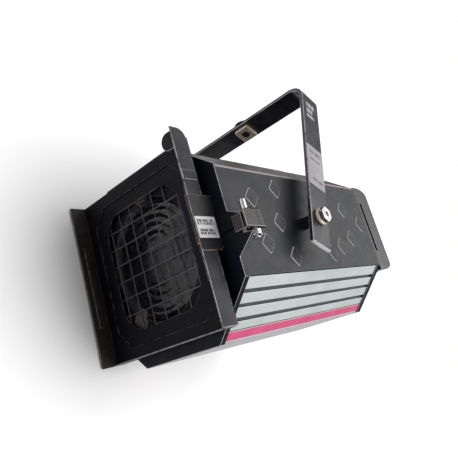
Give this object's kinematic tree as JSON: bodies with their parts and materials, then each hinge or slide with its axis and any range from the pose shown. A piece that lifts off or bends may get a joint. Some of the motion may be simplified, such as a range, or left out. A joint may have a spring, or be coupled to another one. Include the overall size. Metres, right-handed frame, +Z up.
{
  "type": "stage spotlight",
  "caption": "Compact yoke-hung stage spotlight with hinged lens door, colour-frame runners, wire guard, side latch, screw focus and finned aluminium lower sides.",
  "frame": {"origin": "on the flat underside of the body, straight below the yoke's tilt axis, midway between the sides", "axes": "+Z up, -Y towards the lens and colour frames, +X towards the side with the door latch"},
  "size_m": [0.2408, 0.3325, 0.2706],
  "materials": {
    "black_paint": "satin black enamel, worn to metal on folds",
    "cap_paint": "satin black enamel",
    "fin_aluminium": "satin anodised, slightly green-grey",
    "stripe_film": "matt magenta film",
    "zinc_steel": "zinc plate",
    "bright_steel": "bright nickel plate",
    "dark_steel": "dark bronze-black finish",
    "brass_plate": "pale yellow passivated plate",
    "black_plastic": "fine matt",
    "ceramic": "glazed steatite",
    "mirror_aluminium": "polished and anodised",
    "lens_glass": "clear borosilicate",
    "lamp_glass": "clear quartz",
    "tungsten": "dull drawn wire",
    "wire_steel": "dull plated wire",
    "white_label": "printed paper label"
  },
  "bodies": {
    "housing": {"front_end_plate": "black_paint", "rear_end_plate": "black_paint", "side_plate_right": "black_paint", "side_plate_left": "black_paint", "top_cover": "black_paint", "vent_hood": "black_paint", "fin_extrusion_right": "fin_aluminium", "fin_extrusion_left": "fin_aluminium", "accent_stripes": "stripe_film", "base_panel": "fin_aluminium", "rear_cap": "cap_paint", "body_screws": "zinc_steel", "guide_rods": "bright_steel", "rod_rest": "zinc_steel", "bulkhead": "black_paint", "heat_baffle": "zinc_steel", "terminal_block": "ceramic", "cable_gland": "black_plastic", "pivot_stiffeners": "black_paint", "pivot_bushes": "black_plastic", "pivot_bolts": "bright_steel", "pivot_flange_washers": "brass_plate", "pivot_nuts": "bright_steel", "body_hinge_leaf": "zinc_steel", "hinge_pin": "bright_steel", "latch_bracket": "dark_steel", "latch_pin": "bright_steel", "latch_spring": "bright_steel"},
    "lens_door": {"front_frame": "black_paint", "runner_right": "black_paint", "runner_left": "black_paint", "runner_dividers": "black_paint", "aperture_plate": "black_paint", "wire_guard": "wire_steel", "lens_plate": "black_paint", "lens": "lens_glass", "lens_ring": "zinc_steel", "lens_clips": "bright_steel", "door_hinge_leaf": "zinc_steel", "latch_plate": "black_paint", "latch_label": "white_label", "runner_band": "black_paint", "catch_rivet": "zinc_steel"},
    "frame_catch": {"frame_catch": "black_paint"},
    "latch_lever": {"latch_lever": "dark_steel"},
    "lamp_carriage": {"lamp_tray": "zinc_steel", "reflector": "mirror_aluminium", "reflector_stay": "zinc_steel", "lampholder": "ceramic", "lamp_base": "ceramic", "lamp_envelope": "lamp_glass", "lamp_filament": "tungsten"},
    "focus_screw": {"lead_screw": "bright_steel", "focus_knob": "black_plastic"},
    "yoke": {"yoke_strap": "black_paint", "friction_washers": "black_plastic", "hanging_bolt": "dark_steel", "hanging_nut": "dark_steel", "square_nut": "brass_plate", "yoke_label": "white_label"}
  },
  "joints": [
    {"name": "yoke_tilt", "type": "hinge", "parent": "housing", "child": "yoke", "pos_m": [0, 0, 0.0925], "axis": [1, 0, 0], "range_deg": [-40, 78]},
    {"name": "door_swing", "type": "hinge", "parent": "housing", "child": "lens_door", "pos_m": [-0.0846, -0.1212, 0.0925], "axis": [0, 0, -1], "range_deg": [0, 90]},
    {"name": "catch_turn", "type": "hinge", "parent": "lens_door", "child": "frame_catch", "pos_m": [0.0788, -0.131, 0.173], "axis": [-1, 0, 0], "range_deg": [0, 90]},
    {"name": "latch_press", "type": "hinge", "parent": "housing", "child": "latch_lever", "pos_m": [0.1056, -0.102, 0.0925], "axis": [0, 0, 1], "range_deg": [0, 32], "stiffness_Nm_per_rad": 0.15},
    {"name": "focus_slide", "type": "slide", "parent": "housing", "child": "lamp_carriage", "axis": [0, 1, 0], "range_m": [-0.035, 0.038]},
    {"name": "focus_turn", "type": "hinge", "parent": "housing", "child": "focus_screw", "pos_m": [0, 0, 0.0215], "axis": [0, 1, 0], "range_deg": [-1100, 1190]}
  ],
  "couplings": [
    {"joint": "focus_turn", "follows": "focus_slide", "rad_per_m": 523.6}
  ]
}
